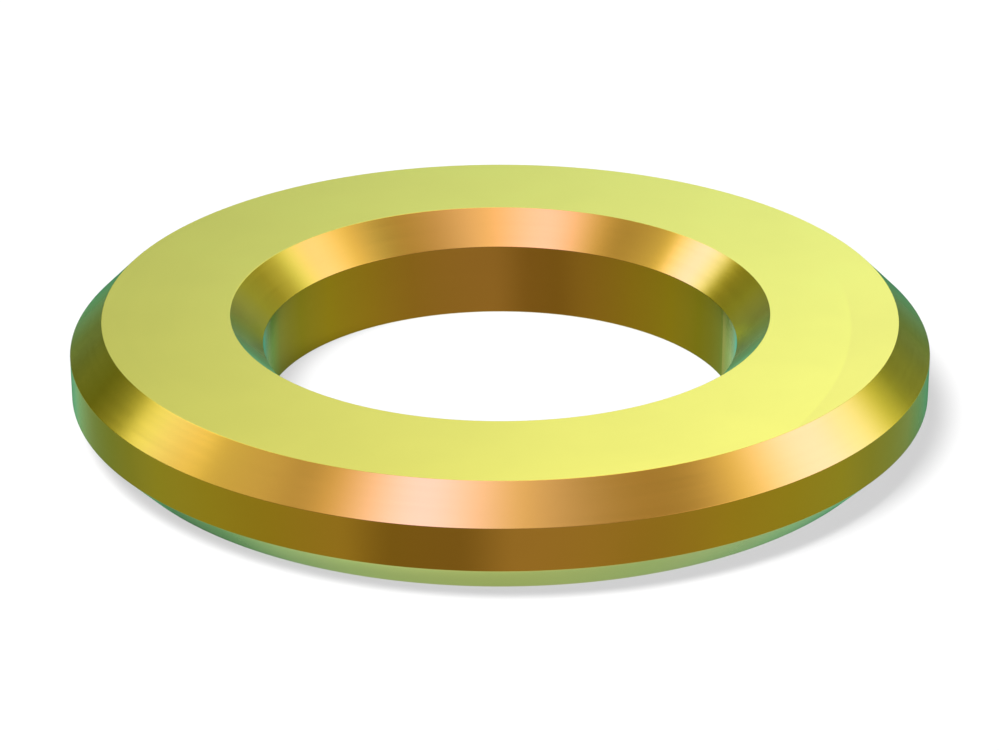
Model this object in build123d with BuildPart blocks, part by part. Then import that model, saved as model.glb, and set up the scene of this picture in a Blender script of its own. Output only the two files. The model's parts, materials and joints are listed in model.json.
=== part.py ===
# A chamfered structural washer for high-strength bolting in the M12 size, one piece of steel.
# It lies flat on its lower bearing face: the Z axis is the bore's axis, and Z is 0 on that face.
# The rim is bevelled above and below. The bore is countersunk on the upper side only, to clear the
# fillet under the bolt's head, and its lower edge is left square. All lengths are in millimetres.
import os

from build123d import *

# Driving dimensions
outer_diameter = 24.0
bore_diameter = 13.27  # upper limit of the 13 mm clearance hole for a 12 mm bolt
thickness = 3.0
rim_bevel = 0.9  # height of each bevel, taken off the rim's wall
rim_bevel_angle = 45.0  # degrees from the rim's wall
countersink_depth = 0.9  # taken off the bore's wall
countersink_angle = 45.0  # degrees from the bore's wall, half of the cone's own angle
edge_break = 0.03  # radius that tumbling leaves on every edge

outer_radius = outer_diameter / 2
bore_radius = bore_diameter / 2

with BuildPart() as washer:
    # Half of the ring's cross-section, with the radius along local X and the height along local Y
    with BuildSketch(Plane.XZ) as section:
        with Locations((bore_radius, 0)):
            Rectangle(outer_radius - bore_radius, thickness, align=(Align.MIN, Align.MIN))

        rim_wall = section.edges().sort_by(Axis.X)[-1]
        chamfer(rim_wall.vertices(), length=rim_bevel, angle=rim_bevel_angle, reference=rim_wall)

        bore_wall = section.edges().sort_by(Axis.X)[0]
        upper_corner = bore_wall.vertices().sort_by(Axis.Y)[-1]
        chamfer(upper_corner, length=countersink_depth, angle=countersink_angle, reference=bore_wall)

        fillet(section.vertices(), radius=edge_break)

    revolve(axis=Axis.Z)

washer.part.label = "washer"

os.makedirs("parts", exist_ok=True)
export_step(washer.part, "parts/washer.step")
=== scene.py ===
# Structural washer lying on a white table: yellow passivated steel, countersunk face up
import json
import math

import bpy
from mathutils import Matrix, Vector


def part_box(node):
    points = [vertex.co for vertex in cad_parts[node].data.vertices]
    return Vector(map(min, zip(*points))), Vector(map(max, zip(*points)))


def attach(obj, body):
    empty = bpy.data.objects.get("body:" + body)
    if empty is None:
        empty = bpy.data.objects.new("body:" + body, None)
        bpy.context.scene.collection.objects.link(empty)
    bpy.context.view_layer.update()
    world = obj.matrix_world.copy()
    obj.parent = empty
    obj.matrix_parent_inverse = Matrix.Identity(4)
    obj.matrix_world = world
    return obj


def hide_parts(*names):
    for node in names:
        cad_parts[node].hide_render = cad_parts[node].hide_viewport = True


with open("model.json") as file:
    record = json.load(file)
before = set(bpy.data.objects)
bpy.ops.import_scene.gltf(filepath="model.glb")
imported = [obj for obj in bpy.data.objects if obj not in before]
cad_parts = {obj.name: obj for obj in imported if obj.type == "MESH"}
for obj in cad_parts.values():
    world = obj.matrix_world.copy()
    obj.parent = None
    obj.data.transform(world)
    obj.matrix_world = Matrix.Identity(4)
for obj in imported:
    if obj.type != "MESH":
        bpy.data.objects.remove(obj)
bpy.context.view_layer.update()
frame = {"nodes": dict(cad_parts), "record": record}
print("frame loaded:", sorted(frame["nodes"]))


# Small helpers

def mm(value):
    return value / 1000.0


def feed(socket, value):
    # wires an input to another node's output, or sets the input's own value
    if isinstance(value, bpy.types.NodeSocket):
        socket.id_data.links.new(value, socket)
    elif value is not None:
        socket.default_value = value


def addNode(tree, kind, inputs=None, **settings):
    node = tree.nodes.new(kind)
    for key, value in settings.items():
        setattr(node, key, value)
    for key, value in (inputs or {}).items():
        feed(node.inputs[key], value)
    return node


def calc(tree, operation, *values, clamp=False):
    # one Math node, as its output
    node = addNode(tree, "ShaderNodeMath", dict(enumerate(values)), operation=operation, use_clamp=clamp)
    return node.outputs[0]


def smoothStep(tree, value, start, end, low=0.0, high=1.0):
    # goes softly from low at start to high at end
    inputs = {0: value, 1: start, 2: end, 3: low, 4: high}
    node = addNode(tree, "ShaderNodeMapRange", inputs, interpolation_type="SMOOTHSTEP")
    return node.outputs[0]


def scaled(tree, vector, factor):
    node = addNode(tree, "ShaderNodeVectorMath", {0: vector, "Scale": factor}, operation="SCALE")
    return node.outputs[0]


def newGroup(name, kind, inputs, outputs):
    # a node group with named sockets, its input values by name, and its output node
    tree = bpy.data.node_groups.new(name, kind)
    for socketName, socketKind, value in inputs:
        socket = tree.interface.new_socket(socketName, in_out="INPUT", socket_type=socketKind)
        if value is not None:
            socket.default_value = value
    for socketName, socketKind in outputs:
        tree.interface.new_socket(socketName, in_out="OUTPUT", socket_type=socketKind)
    given = addNode(tree, "NodeGroupInput").outputs
    result = addNode(tree, "NodeGroupOutput").inputs
    return tree, given, result


def useGroup(tree, group, **values):
    # socket names have spaces, so ringPitch here is the socket "Ring Pitch"
    node = addNode(tree, "ShaderNodeGroup", node_tree=group)
    for key, value in values.items():
        words = "".join(" " + c if c.isupper() else c for c in key)
        feed(node.inputs[words.title()], value)
    return node.outputs


# Camera, level with the long side of the picture and looking down on the washer

cameraView = {
    "lens": 130.73,  # long, for a close view with little perspective
    "distanceBack": 93.3,  # mm in front of the bore's axis
    "height": 43.04,  # mm above the table
    "lookDown": 24.3,  # degrees
}


def makeCamera():
    data = bpy.data.cameras.new("camera")
    data.lens = cameraView["lens"]
    data.sensor_width = 36.0
    data.clip_start = mm(5)
    data.clip_end = 20.0
    camera = bpy.data.objects.new("camera", data)
    bpy.context.scene.collection.objects.link(camera)
    camera.location = (0, -mm(cameraView["distanceBack"]), mm(cameraView["height"]))
    camera.rotation_euler = (math.radians(90 - cameraView["lookDown"]), 0, 0)
    bpy.context.scene.camera = camera


makeCamera()
print("camera placed")


# Studio: soft panels round the washer, one key lamp and a white table
# A bearing of 0 is behind the washer, 90 is on its right and 180 is behind the camera.
# The first five panels came from a separate fitting program, which solved them together with
# the films below against the photograph's colours; they were then rounded.

studio = {
    "horizon": 0.255,  # light level low down
    "zenith": 0.4,
    "riseFrom": 39.0,  # elevation at which the dome starts to brighten
    "riseTo": 83.0,
    "roomTint": (1.0, 1.0, 0.75),
    "panelTint": (1.0, 1.0, 1.5),
    "panels": {
        "back": dict(bearing=12, elevation=35.5, roll=-47,
                     width=33.5, height=22.5, softness=35, level=1.82),
        "right": dict(bearing=95.5, elevation=10.5, roll=-25.5,
                      width=80, height=68.5, softness=35, level=1.11),
        "left": dict(bearing=-51, elevation=43.5, roll=28,
                     width=43, height=23.5, softness=3, level=1.1),
        "top": dict(bearing=-166, elevation=78.5, roll=29.5,
                    width=27.5, height=79.5, softness=30, level=1.04),
        "fill": dict(bearing=-92, elevation=44, roll=-17,
                     width=23, height=13, softness=5, level=0.34),
        # these two light the sides that the camera doesn't see
        "front": dict(bearing=180, elevation=20, roll=0,
                      width=60, height=24, softness=20, level=0.5),
        "lowLeft": dict(bearing=-100, elevation=8, roll=0,
                        width=50, height=14, softness=12, level=0.6),
    },
    "keyBearing": -137,
    "keyElevation": 62,
    "keySize": 25,  # degrees across, which softens the shadow's edge
    "keyLevel": 1.98,
    "keyTint": (1.0, 1.0, 1.2),
    "keyDistance": 200,  # mm
    "table": (0.74, 0.74, 0.612),  # a warm white, that looks neutral under these cool lights
    "tableGlow": 0.085,  # lifts the table to paper white where it is looked at
    "tableHalf": 3.0,  # metres from its middle to its edge
}


def softPanelGroup():
    # how far inside a soft-edged rectangular panel a direction points, from 0 to 1
    kind = "NodeSocketFloat"
    names = ("Bearing", "Elevation", "Roll", "Width", "Height", "Softness")
    inputs = [("Direction", "NodeSocketVector", None)] + [(name, kind, 0.0) for name in names]
    tree, given, result = newGroup("softPanel", "ShaderNodeTree", inputs, [("Mask", kind)])
    turned = given["Direction"]
    for axis, angle, sign in (("Z", "Bearing", 1), ("X", "Elevation", -1), ("Y", "Roll", 1)):
        radians = calc(tree, "MULTIPLY", given[angle], math.radians(sign))
        rotate = addNode(tree, "ShaderNodeVectorRotate", {"Vector": turned, "Angle": radians},
                         rotation_type=axis + "_AXIS")
        turned = rotate.outputs[0]
    split = addNode(tree, "ShaderNodeSeparateXYZ", {0: turned}).outputs
    depth = calc(tree, "MAXIMUM", split["Y"], 0.05)
    halfSoft = calc(tree, "MULTIPLY", calc(tree, "TANGENT", calc(tree, "RADIANS", given["Softness"])), 0.5)
    inside = calc(tree, "GREATER_THAN", split["Y"], 0.05)
    for axis, size in (("X", "Width"), ("Z", "Height")):
        across = calc(tree, "ABSOLUTE", calc(tree, "DIVIDE", split[axis], depth))
        half = calc(tree, "TANGENT", calc(tree, "MULTIPLY", given[size], math.radians(0.5)))
        start = calc(tree, "SUBTRACT", half, halfSoft)
        end = calc(tree, "ADD", half, halfSoft)
        inside = calc(tree, "MULTIPLY", inside, smoothStep(tree, across, start, end, 1.0, 0.0))
    feed(result["Mask"], inside)
    return tree


def makeWorld():
    world = bpy.data.worlds.new("studio")
    bpy.context.scene.world = world
    world.use_nodes = True
    tree = world.node_tree
    direction = addNode(tree, "ShaderNodeTexCoord").outputs["Generated"]
    upward = addNode(tree, "ShaderNodeSeparateXYZ", {0: direction}).outputs["Z"]
    elevation = calc(tree, "DEGREES", calc(tree, "ARCSINE", upward))
    room = smoothStep(tree, elevation, studio["riseFrom"], studio["riseTo"],
                      studio["horizon"], studio["zenith"])
    panelGroup = softPanelGroup()
    panels = 0.0
    for panel in studio["panels"].values():
        places = {key: value for key, value in panel.items() if key != "level"}
        mask = useGroup(tree, panelGroup, direction=direction, **places)["Mask"]
        panels = calc(tree, "MULTIPLY_ADD", mask, panel["level"], panels)
    roomLight = scaled(tree, studio["roomTint"], room)
    panelLight = scaled(tree, studio["panelTint"], panels)
    light = addNode(tree, "ShaderNodeVectorMath", {0: roomLight, 1: panelLight})
    background = tree.nodes["Background"]
    feed(background.inputs["Color"], light.outputs[0])
    background.inputs["Strength"].default_value = 1.0


def fromBearing(bearing, elevation):
    b = math.radians(bearing)
    e = math.radians(elevation)
    return Vector((math.sin(b) * math.cos(e), math.cos(b) * math.cos(e), math.sin(e)))


def makeKeyLamp():
    data = bpy.data.lights.new("keyLamp", "SUN")
    data.energy = studio["keyLevel"]
    data.color = studio["keyTint"]
    data.angle = math.radians(studio["keySize"])
    lamp = bpy.data.objects.new("keyLamp", data)
    bpy.context.scene.collection.objects.link(lamp)
    towardLamp = fromBearing(studio["keyBearing"], studio["keyElevation"])
    lamp.location = towardLamp * mm(studio["keyDistance"])
    lamp.rotation_euler = towardLamp.to_track_quat("Z", "Y").to_euler()
    lamp.visible_glossy = False  # the metal mirrors the panels


def makeTable():
    half = studio["tableHalf"]
    mesh = bpy.data.meshes.new("table")
    corners = [(-half, -half, 0), (half, -half, 0), (half, half, 0), (-half, half, 0)]
    mesh.from_pydata(corners, [], [(0, 1, 2, 3)])
    table = bpy.data.objects.new("table", mesh)
    bpy.context.scene.collection.objects.link(table)
    material = bpy.data.materials.new("whiteTable")
    material.use_nodes = True
    tree = material.node_tree
    shader = tree.nodes["Principled BSDF"]
    shader.inputs["Base Color"].default_value = (*studio["table"], 1.0)
    shader.inputs["Roughness"].default_value = 1.0
    shader.inputs["Specular IOR Level"].default_value = 0.0
    ray = addNode(tree, "ShaderNodeLightPath").outputs
    looked = calc(tree, "ADD", ray["Is Camera Ray"], ray["Is Glossy Ray"])
    looked = calc(tree, "ADD", looked, ray["Is Transmission Ray"], clamp=True)
    shader.inputs["Emission Color"].default_value = (1.0, 1.0, 1.0, 1.0)
    feed(shader.inputs["Emission Strength"], calc(tree, "MULTIPLY", looked, studio["tableGlow"]))
    mesh.materials.append(material)


makeWorld()
makeKeyLamp()
makeTable()
bpy.context.scene.view_settings.view_transform = "Standard"
print("studio lit")


# Effects that the finishes share

def turnedLayGroup():
    # fine rings left by the lathe, round the bore's axis, and a slower unevenness of the plating
    inputs = [("Position", "NodeSocketVector", None), ("Ring Pitch", "NodeSocketFloat", 0.1)]
    outputs = [("Lay", "NodeSocketFloat"), ("Cloud", "NodeSocketFloat")]
    tree, given, result = newGroup("turnedLay", "ShaderNodeTree", inputs, outputs)
    millimetres = scaled(tree, given["Position"], 1000.0)
    split = addNode(tree, "ShaderNodeSeparateXYZ", {0: millimetres}).outputs
    flat = addNode(tree, "ShaderNodeCombineXYZ", {"X": split["X"], "Y": split["Y"]}).outputs[0]
    radius = addNode(tree, "ShaderNodeVectorMath", {0: flat}, operation="LENGTH").outputs["Value"]
    heading = addNode(tree, "ShaderNodeVectorMath", {0: flat}, operation="NORMALIZE").outputs[0]
    heading = addNode(tree, "ShaderNodeSeparateXYZ", {0: heading}).outputs
    ringRadius = calc(tree, "DIVIDE", radius, given["Ring Pitch"])
    ringHeight = calc(tree, "DIVIDE", split["Z"], given["Ring Pitch"])
    around = addNode(tree, "ShaderNodeCombineXYZ",
                     {"X": calc(tree, "MULTIPLY", heading["X"], 1.5),
                      "Y": calc(tree, "MULTIPLY", heading["Y"], 1.5), "Z": ringRadius}).outputs[0]
    lay = addNode(tree, "ShaderNodeTexNoise",
                  {"Vector": around, "W": ringHeight, "Scale": 1.0, "Detail": 2.0, "Roughness": 0.6},
                  noise_dimensions="4D").outputs["Fac"]
    cloud = addNode(tree, "ShaderNodeTexNoise",
                    {"Vector": millimetres, "Scale": 0.35, "Detail": 3.0, "Roughness": 0.5}).outputs["Fac"]
    feed(result["Lay"], lay)
    feed(result["Cloud"], cloud)
    return tree


def paintedLightPatchGroup():
    # where light or shade is painted on: 1 at a bearing round the washer, and 0 at a reach either side
    inputs = [("Position", "NodeSocketVector", None), ("Bearing", "NodeSocketFloat", 0.0),
              ("Reach", "NodeSocketFloat", 20.0), ("Fade", "NodeSocketFloat", 20.0)]
    tree, given, result = newGroup("paintedLightPatch", "ShaderNodeTree", inputs, [("Mask", "NodeSocketFloat")])
    radians = calc(tree, "MULTIPLY", given["Bearing"], math.radians(1))
    turned = addNode(tree, "ShaderNodeVectorRotate", {"Vector": given["Position"], "Angle": radians},
                     rotation_type="Z_AXIS").outputs[0]
    split = addNode(tree, "ShaderNodeSeparateXYZ", {0: turned}).outputs
    angle = calc(tree, "DEGREES", calc(tree, "ARCTAN2", split["X"], split["Y"]))
    start = calc(tree, "SUBTRACT", given["Reach"], given["Fade"])
    feed(result["Mask"], smoothStep(tree, calc(tree, "ABSOLUTE", angle), start, given["Reach"], 1.0, 0.0))
    return tree


def paintedReflectionArcGroup():
    # mask for the painted reflection arc: 1 outside a circle that lies flat, given by its middle on the X
    # axis and its radius in millimetres
    inputs = [("Position", "NodeSocketVector", None), ("Middle", "NodeSocketFloat", 0.0),
              ("Radius", "NodeSocketFloat", 1.0), ("Softness", "NodeSocketFloat", 0.1)]
    tree, given, result = newGroup("paintedReflectionArc", "ShaderNodeTree", inputs, [("Mask", "NodeSocketFloat")])
    millimetres = scaled(tree, given["Position"], 1000.0)
    split = addNode(tree, "ShaderNodeSeparateXYZ", {0: millimetres}).outputs
    flat = addNode(tree, "ShaderNodeCombineXYZ",
                   {"X": calc(tree, "SUBTRACT", split["X"], given["Middle"]), "Y": split["Y"]}).outputs[0]
    distance = addNode(tree, "ShaderNodeVectorMath", {0: flat}, operation="LENGTH").outputs["Value"]
    past = calc(tree, "SUBTRACT", distance, given["Radius"])
    feed(result["Mask"], smoothStep(tree, past, 0.0, given["Softness"]))
    return tree


turnedLay = turnedLayGroup()
paintedLightPatch = paintedLightPatchGroup()
paintedReflectionArc = paintedReflectionArcGroup()


# Finishes: the passivated film changes hue with the angle that it is seen at, here in degrees
# from head-on, so each finish lists its colours by that angle. Patches are painted light that multiplies
# the colour:
# each is a bearing round the washer, a reach and a fade in degrees, and its factors, and paints a
# highlight, reflection or shade.
# The films, edge tints and first patches began as output of fitting programs run against the
# photograph's colours, and were then rounded and changed. They aren't measured plating.

steepFilm = [
    (19, (1.0, 0.525, 0.09)),
    (26, (1.0, 0.5, 0.085)),
    (32, (1.0, 0.55, 0.08)),
    (38, (1.0, 0.6, 0.072)),
    (44, (1.0, 0.63, 0.06)),
    (50, (0.88, 0.68, 0.052)),
    (56, (0.81, 0.66, 0.05)),
]

# edge-on the film hides the metal and shows its own teal
metalByAngle = [(75, 1.0), (80, 0.6), (84, 0.25), (87, 0.08)]
sinkMetalByAngle = [(67, 1.0), (71, 0.97), (74, 0.85), (77, 0.82), (80, 0.6), (84, 0.25), (87, 0.08)]

filmRules = {
    "paintedHighlightBlue": 1.5,  # a patch that lifts the blue more than this is a painted highlight, which fades out edge-on
    "paintedHighlightFrom": 58,  # degrees from head-on, where painted highlights start to fade
    "paintedHighlightTo": 72,  # where they are gone
    "hardFade": 1.0,  # a patch with a narrower fade than this is the hard edge of a painted reflection that shows only edge-on
    "ringPitch": 0.12,  # mm between the turned rings
    "ringDepth": 0.002,  # mm
    "ringStrength": 0.06,
    "toneSpread": 0.015,  # how much the plating's slow unevenness changes the colour
    "roughnessSpread": 0.015,
}

finishes = {
    "bearingFace": {
        "film": [
            (0, (1.0, 0.76, 0.14)),
            (45, (0.97, 0.8, 0.09)),
            (57, (0.97, 0.82, 0.077)),
            (61, (0.98, 0.85, 0.12)),
            (65, (0.985, 0.875, 0.162)),
            (69, (1.0, 0.91, 0.21)),
            (76, (1.0, 0.88, 0.24)),
            (82, (0.75, 0.8, 0.3)),
            (87, (0.5, 0.7, 0.35)),
        ],
        "metal": metalByAngle,
        "edgeTint": (0.6, 1.0, 0.6),  # what the film reflects when it is seen almost edge-on
        "roughness": 0.22,
        "paintedLightPatches": [],
        # a painted reflection: a faint arc where a reflection's edge crosses the face, and the tone outside
        # it
        "paintedReflectionArc": dict(middle=-6.64, radius=16.35, softness=0.08, bearing=113, reach=40, fade=24,
                         tone=(0.965, 0.95, 0.975)),
    },
    "rimBevel": {
        "film": steepFilm + [
            (62, (0.61, 0.58, 0.053)),
            (67, (0.71, 0.75, 0.113)),
            (72, (0.57, 0.71, 0.155)),
            (77, (0.25, 0.41, 0.07)),
            (82, (0.075, 0.265, 0.038)),
            (87, (0.04, 0.2, 0.065)),
        ],
        "metal": metalByAngle,
        "edgeTint": (0.27, 0.24, 0.31),
        "roughness": 0.205,
        # painted light: the strong blue lifts are painted highlights, and the others are painted highlight
        # and shade tones
        "paintedLightPatches": [
            (-170.5, 13.5, 13.5, (1.0, 1.09, 3.55)),
            (133.5, 16.5, 16.5, (1.0, 1.02, 4.3)),
            (-130.5, 10, 10, (1.0, 1.0, 1.75)),
            (173, 13, 13, (1.0, 1.0, 1.4)),
            (102, 9, 9, (1.2, 1.18, 1.2)),
            (124, 7, 7, (1.12, 1.12, 1.25)),
            (-112, 13, 13, (0.86, 0.87, 0.84)),
            (25, 18, 18, (1.0, 1.02, 2.6)),
            (-52, 16, 16, (1.0, 1.0, 2.2)),
            (-120, 6, 6, (1.05, 1.08, 1.14)),
        ],
    },
    "countersink": {
        "film": steepFilm + [
            (62, (0.93, 0.87, 0.095)),
            (67, (0.97, 1.0, 0.2)),
            (71, (0.88, 0.96, 0.24)),
            (74, (0.56, 0.73, 0.17)),
            (77, (0.5, 0.73, 0.22)),
            (80.5, (0.22, 0.42, 0.14)),
            (83.5, (0.12, 0.31, 0.11)),
            (87, (0.14, 0.34, 0.13)),
        ],
        "metal": sinkMetalByAngle,
        "edgeTint": (0.27, 0.24, 0.31),
        "roughness": 0.205,
        # painted light: the strong blue lifts are painted highlights, and the others are painted highlight
        # and shade tones
        "paintedLightPatches": [
            (54, 12, 12, (1.0, 1.02, 4.5)),
            (-56, 7, 7, (1.04, 1.13, 1.0)),
            (11.5, 15.5, 15.5, (1.0, 1.0, 2.5)),
            (-50, 13.5, 13.5, (1.0, 1.0, 2.2)),
            (-8, 18, 18, (1.0, 1.0, 1.42)),
            (4, 12, 12, (1.0, 0.94, 0.97)),
            (-62, 8, 8, (0.88, 0.9, 0.97)),
            (-30, 8, 8, (1.08, 1.1, 1.1)),
            (72, 9, 9, (0.9, 0.91, 0.82)),
            (160, 18, 18, (1.0, 1.0, 2.4)),
            (-125, 16, 16, (1.0, 1.0, 2.0)),
        ],
    },
    "rimWall": {
        # painted shade: a darker version of the film, standing in for the dark reflections that the upright
        # wall shows
        "film": [
            (27, (0.28, 0.135, 0.016)),
            (33, (0.27, 0.145, 0.011)),
            (42, (0.265, 0.172, 0.009)),
            (50, (0.255, 0.187, 0.011)),
            (58, (0.265, 0.209, 0.021)),
            (64, (0.262, 0.206, 0.039)),
            (69, (0.29, 0.222, 0.066)),
            (75, (0.35, 0.25, 0.11)),
            (80, (0.2, 0.28, 0.107)),
            (84, (0.11, 0.31, 0.135)),
            (87, (0.09, 0.29, 0.125)),
        ],
        "metal": metalByAngle,
        "edgeTint": (0.3, 0.6, 0.35),
        "roughness": 0.25,
        # painted light: patches of painted shade, and a lighter painted reflection at bearing -107
        "paintedLightPatches": [
            (-171, 11.5, 8, (0.63, 0.62, 0.48)),
            (-107, 9, 9, (1.32, 1.3, 1.32)),
            (104, 12, 12, (0.85, 0.93, 0.83)),
            (-120, 12, 12, (0.9, 0.89, 0.86)),
            (-150, 12, 12, (0.93, 0.93, 0.88)),
            (160, 10, 10, (0.94, 0.93, 0.97)),
        ],
    },
    "boreWall": {
        # painted shade: a darker version of the film, standing in for the dark reflections that the bore
        # wall shows
        "film": [
            (23, (0.258, 0.121, 0.0155)),
            (31, (0.232, 0.119, 0.01)),
            (40, (0.242, 0.15, 0.008)),
            (50, (0.247, 0.181, 0.009)),
            (60, (0.23, 0.183, 0.021)),
            (65, (0.255, 0.195, 0.042)),
            (70, (0.305, 0.23, 0.073)),
            (78, (0.35, 0.42, 0.175)),
            (84, (0.13, 0.4, 0.22)),
            (87, (0.06, 0.33, 0.19)),
        ],
        "metal": metalByAngle,
        "edgeTint": (0.3, 0.6, 0.35),
        "roughness": 0.25,
        # painted light: two patches of painted shade, and a hard-edged painted reflection at bearing 90
        "paintedLightPatches": [
            (11, 13.5, 11, (0.76, 0.74, 0.58)),
            (48, 52, 30, (0.91, 0.91, 0.86)),
            (90, 16.5, 0.6, (1.65, 1.4, 1.6)),
        ],
    },
    "underBevel": {
        # painted shade: a darker copy of the bevel film, for the bevel that faces down to the table
        "film": [
            (20, (0.5, 0.3, 0.05)),
            (50, (0.55, 0.45, 0.06)),
            (64, (0.68, 0.56, 0.115)),
            (70, (0.67, 0.55, 0.165)),
            (73, (0.7, 0.55, 0.25)),
            (76, (0.66, 0.51, 0.28)),
            (79, (0.46, 0.47, 0.245)),
            (82, (0.28, 0.46, 0.21)),
            (87, (0.14, 0.41, 0.19)),
        ],
        "metal": metalByAngle,
        "edgeTint": (0.5, 1.0, 0.5),
        "roughness": 0.22,
        # painted shade: darker patches on the bevel that faces the table
        "paintedLightPatches": [
            (-138, 15, 12, (0.4, 0.49, 0.4)),
            (-152, 12, 12, (0.85, 0.88, 0.87)),
        ],
    },
}


def rampPlace(angle):
    # where an angle from head-on, in degrees, lies on the ramps
    return 1 - math.cos(math.radians(angle))


def angleRamp(tree, facing, stops):
    # a colour ramp over the viewing angle, from a list of (degrees, colour)
    ramp = addNode(tree, "ShaderNodeValToRGB", {"Fac": facing})
    for i, (angle, hue) in enumerate(stops):
        place = rampPlace(angle)
        stop = ramp.color_ramp.elements[i] if i < 2 else ramp.color_ramp.elements.new(place)
        stop.position = place
        stop.color = (*hue, 1.0)
    return ramp.outputs["Color"]


def tinted(tree, colour, mask, factors):
    # the colour multiplied by the factors where the mask is 1
    mixed = addNode(tree, "ShaderNodeMix", data_type="RGBA", blend_type="MULTIPLY")
    feed(mixed.inputs["Factor"], mask)
    feed(mixed.inputs["A"], colour)
    feed(mixed.inputs["B"], (*factors, 1.0))
    return mixed.outputs["Result"]


def makeFinish(name, look):
    material = bpy.data.materials.new(name)
    material.use_nodes = True
    tree = material.node_tree
    shader = tree.nodes["Principled BSDF"]
    position = addNode(tree, "ShaderNodeTexCoord").outputs["Object"]
    facing = addNode(tree, "ShaderNodeLayerWeight", {"Blend": 0.5}).outputs["Facing"]

    surface = useGroup(tree, turnedLay, position=position, ringPitch=filmRules["ringPitch"])
    spread = filmRules["toneSpread"]
    tone = smoothStep(tree, surface["Cloud"], 0.3, 0.7, 1 - spread, 1 + spread)
    colour = scaled(tree, angleRamp(tree, facing, look["film"]), tone)
    paintedHighlightFrom = rampPlace(filmRules["paintedHighlightFrom"])
    paintedHighlightTo = rampPlace(filmRules["paintedHighlightTo"])
    headOn = smoothStep(tree, facing, paintedHighlightFrom, paintedHighlightTo, 1.0, 0.0)
    # painted light: each patch multiplies a painted highlight, reflection or shade into the film colour
    for bearing, reach, fade, factors in look["paintedLightPatches"]:
        mask = useGroup(tree, paintedLightPatch, position=position, bearing=bearing, reach=reach, fade=fade)["Mask"]
        # hard steps are painted reflections seen only edge-on; strong blue lifts are painted highlights
        # that fade edge-on
        if fade < filmRules["hardFade"]:
            mask = calc(tree, "MULTIPLY", mask, calc(tree, "SUBTRACT", 1.0, headOn))
        elif factors[2] > filmRules["paintedHighlightBlue"]:
            mask = calc(tree, "MULTIPLY", mask, headOn)
        colour = tinted(tree, colour, mask, factors)
    # painted reflection: the faint arc on the bearing face and the tone outside it
    if "paintedReflectionArc" in look:
        mark = look["paintedReflectionArc"]
        around = useGroup(tree, paintedLightPatch, position=position, bearing=mark["bearing"], reach=mark["reach"],
                          fade=mark["fade"])["Mask"]
        outside = useGroup(tree, paintedReflectionArc, position=position, middle=mark["middle"], radius=mark["radius"],
                           softness=mark["softness"])["Mask"]
        colour = tinted(tree, colour, calc(tree, "MULTIPLY", around, outside), mark["tone"])
    feed(shader.inputs["Base Color"], colour)
    metalStops = [(angle, (metal, metal, metal)) for angle, metal in look["metal"]]
    feed(shader.inputs["Metallic"], angleRamp(tree, facing, metalStops))
    rough = look["roughness"]
    spread = filmRules["roughnessSpread"]
    roughness = smoothStep(tree, surface["Lay"], 0.3, 0.7, rough - spread, rough + spread)
    feed(shader.inputs["Roughness"], roughness)
    bump = addNode(tree, "ShaderNodeBump",
                   {"Height": surface["Lay"], "Strength": filmRules["ringStrength"],
                    "Distance": mm(filmRules["ringDepth"])})
    feed(shader.inputs["Normal"], bump.outputs["Normal"])
    shader.inputs["Specular IOR Level"].default_value = 0.0
    shader.inputs["Specular Tint"].default_value = (*look["edgeTint"], 1.0)
    return material


materials = {name: makeFinish(name, look) for name, look in finishes.items()}
print("finishes made:", ", ".join(materials))


# Washer: its cross-section, swept round the bore's axis

washerBuild = {
    "bevel": 0.9,  # mm, at 45 degrees on both sides of the rim
    "sink": 0.9,  # mm, the countersink in the upper face
    "columns": 360,  # faces round the ring
    "edgeRows": 4,  # points that round each broken edge
    "edgeBreak": 0.02,  # mm
}

# which finish each face takes, by the tree's socket
finishSockets = {
    "Face": "bearingFace",
    "Rim Bevel Finish": "rimBevel",
    "Under Bevel": "underBevel",
    "Sink": "countersink",
    "Rim Wall": "rimWall",
    "Bore Wall": "boreWall",
}


def washerSizes():
    # in millimetres, from the frame's own box and bore, so the dressed washer follows them
    low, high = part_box("washer")
    bore = next(mount for mount in frame["record"]["mounts"] if mount["name"] == "bore")
    return {
        "rim": min(-low.x, high.x, -low.y, high.y) * 1000,
        "bore": bore["dims"]["r_mm"],
        "top": high.z * 1000,
    }


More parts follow.
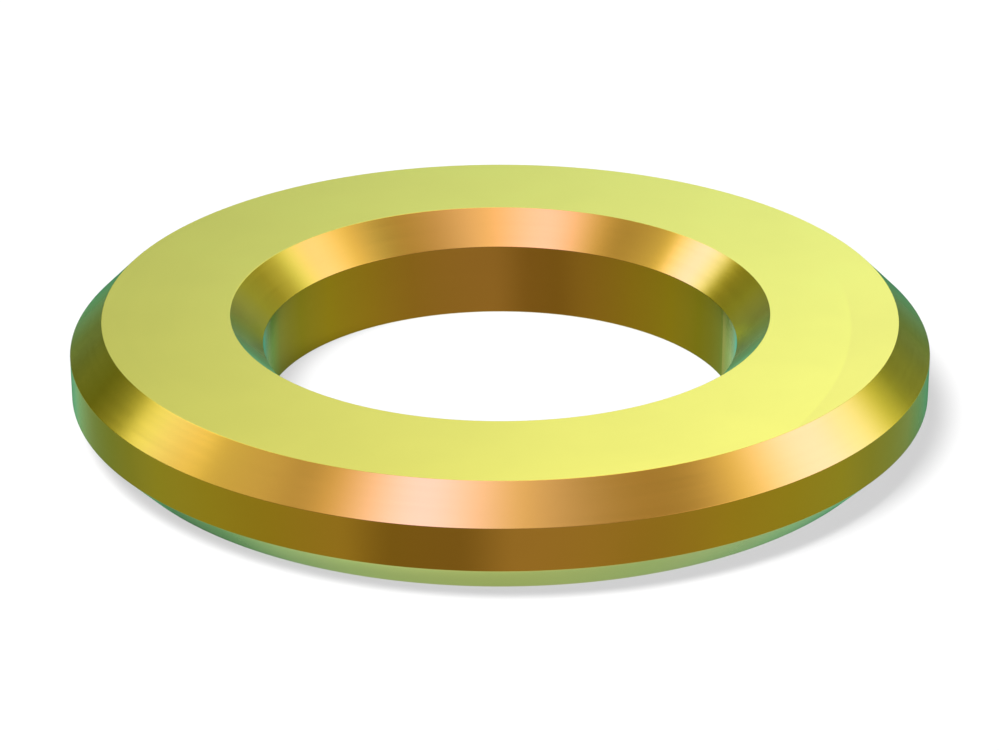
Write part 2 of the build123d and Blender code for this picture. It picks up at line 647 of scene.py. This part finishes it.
def washerTree():
    lengths = ("Rim Radius", "Bore Radius", "Thickness", "Rim Bevel", "Countersink", "Edge Break")
    inputs = [("Geometry", "NodeSocketGeometry", None)]
    inputs += [(name, "NodeSocketFloat", 0.0) for name in lengths]
    inputs += [(name, "NodeSocketInt", 1) for name in ("Columns", "Edge Rows")]
    inputs += [(name, "NodeSocketMaterial", None) for name in finishSockets]
    tree, given, result = newGroup("turnedWasher", "GeometryNodeTree", inputs,
                                   [("Geometry", "NodeSocketGeometry")])

    # the section's corners, counted from the middle of the ring's width
    middle = calc(tree, "MULTIPLY", calc(tree, "ADD", given["Rim Radius"], given["Bore Radius"]), 0.5)
    rim = calc(tree, "SUBTRACT", given["Rim Radius"], middle)
    bore = calc(tree, "SUBTRACT", given["Bore Radius"], middle)
    top = given["Thickness"]
    bevel = given["Rim Bevel"]
    sink = given["Countersink"]
    rimFoot = calc(tree, "SUBTRACT", rim, bevel)
    corners = [
        (bore, 0.0),
        (rimFoot, 0.0),
        (rim, bevel),
        (rim, calc(tree, "SUBTRACT", top, bevel)),
        (rimFoot, top),
        (calc(tree, "ADD", bore, sink), top),
        (bore, calc(tree, "SUBTRACT", top, sink)),
    ]
    line = addNode(tree, "GeometryNodeMeshLine", {"Count": len(corners)})
    place = addNode(tree, "GeometryNodeIndexSwitch", data_type="VECTOR")
    while len(place.index_switch_items) < len(corners):
        place.index_switch_items.new()
    feed(place.inputs["Index"], addNode(tree, "GeometryNodeInputIndex").outputs[0])
    for i, (across, up) in enumerate(corners):
        down = calc(tree, "MULTIPLY", up, -1.0)
        corner = addNode(tree, "ShaderNodeCombineXYZ", {"X": across, "Y": down})
        feed(place.inputs[i + 1], corner.outputs[0])
    placed = addNode(tree, "GeometryNodeSetPosition",
                     {"Geometry": line.outputs[0], "Position": place.outputs[0]})
    curve = addNode(tree, "GeometryNodeMeshToCurve", {0: placed.outputs[0]})
    closed = addNode(tree, "GeometryNodeSetSplineCyclic", {"Geometry": curve.outputs[0], "Cyclic": True})
    section = addNode(tree, "GeometryNodeFilletCurve",
                      {"Curve": closed.outputs[0], "Count": given["Edge Rows"],
                       "Radius": given["Edge Break"]}, mode="POLY")

    circle = addNode(tree, "GeometryNodeCurvePrimitiveCircle",
                     {"Resolution": given["Columns"], "Radius": middle}, mode="RADIUS")
    ring = addNode(tree, "GeometryNodeCurveToMesh",
                   {"Curve": circle.outputs["Curve"], "Profile Curve": section.outputs[0]})
    outward = addNode(tree, "GeometryNodeFlipFaces", {"Mesh": ring.outputs[0]})
    smooth = addNode(tree, "GeometryNodeSetShadeSmooth",
                     {"Geometry": outward.outputs[0], "Shade Smooth": True})
    # rows of the section meet at a crease, so the flats and cones stay clean, and the columns blend
    bend = addNode(tree, "GeometryNodeInputMeshEdgeAngle").outputs["Unsigned Angle"]
    sharp = calc(tree, "GREATER_THAN", bend, math.radians(2))
    creased = addNode(tree, "GeometryNodeSetShadeSmooth",
                      {"Geometry": smooth.outputs[0], "Selection": sharp, "Shade Smooth": False},
                      domain="EDGE")
    real = addNode(tree, "GeometryNodeRealizeInstances", {0: creased.outputs[0]})

    # which finish a face takes: by its slope, its side of the ring and its height
    normal = addNode(tree, "GeometryNodeInputNormal").outputs["True Normal"]
    slope = calc(tree, "ABSOLUTE", addNode(tree, "ShaderNodeSeparateXYZ", {0: normal}).outputs["Z"])
    position = addNode(tree, "GeometryNodeInputPosition").outputs[0]
    at = addNode(tree, "ShaderNodeSeparateXYZ", {0: position}).outputs
    squares = calc(tree, "ADD", calc(tree, "POWER", at["X"], 2.0), calc(tree, "POWER", at["Y"], 2.0))
    radius = calc(tree, "SQRT", squares)
    flat = calc(tree, "GREATER_THAN", slope, math.cos(math.radians(22.5)))
    upright = calc(tree, "LESS_THAN", slope, math.cos(math.radians(67.5)))
    inner = calc(tree, "LESS_THAN", radius, middle)
    lower = calc(tree, "LESS_THAN", at["Z"], calc(tree, "MULTIPLY", top, 0.5))
    boreSide = calc(tree, "MULTIPLY", inner, upright)
    dressed = real.outputs[0]
    places = (("Rim Bevel Finish", True), ("Under Bevel", lower), ("Sink", inner), ("Face", flat),
              ("Rim Wall", upright), ("Bore Wall", boreSide))
    for material, where in places:
        dressed = addNode(tree, "GeometryNodeSetMaterial",
                          {"Geometry": dressed, "Selection": where, "Material": given[material]}).outputs[0]
    feed(result["Geometry"], dressed)
    return tree


def makeWasher():
    tree = washerTree()
    sizes = washerSizes()
    mesh = bpy.data.meshes.new("blank")
    blank = bpy.data.objects.new("blank", mesh)
    bpy.context.scene.collection.objects.link(blank)
    turn = blank.modifiers.new("turn", "NODES")
    turn.node_group = tree
    wanted = {
        "Rim Radius": mm(sizes["rim"]),
        "Bore Radius": mm(sizes["bore"]),
        "Thickness": mm(sizes["top"]),
        "Rim Bevel": mm(washerBuild["bevel"]),
        "Countersink": mm(washerBuild["sink"]),
        "Edge Break": mm(washerBuild["edgeBreak"]),
        "Columns": washerBuild["columns"],
        "Edge Rows": washerBuild["edgeRows"],
    }
    wanted.update({name: materials[finish] for name, finish in finishSockets.items()})
    for socket in tree.interface.items_tree:
        if socket.in_out == "INPUT" and socket.name in wanted:
            turn[socket.identifier] = wanted[socket.name]
    dependencies = bpy.context.evaluated_depsgraph_get()
    finished = bpy.data.meshes.new_from_object(blank.evaluated_get(dependencies))
    bpy.data.objects.remove(blank)
    washer = bpy.data.objects.new("plated_washer", finished)
    bpy.context.scene.collection.objects.link(washer)
    print("washer turned:", len(finished.vertices), "points,", len(finished.polygons), "faces,",
          [m.name for m in finished.materials])
    return washer


washer = makeWasher()
washer.visible_diffuse = False  # the table isn't tinted by the gold above it
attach(washer, "root")
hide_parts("washer")
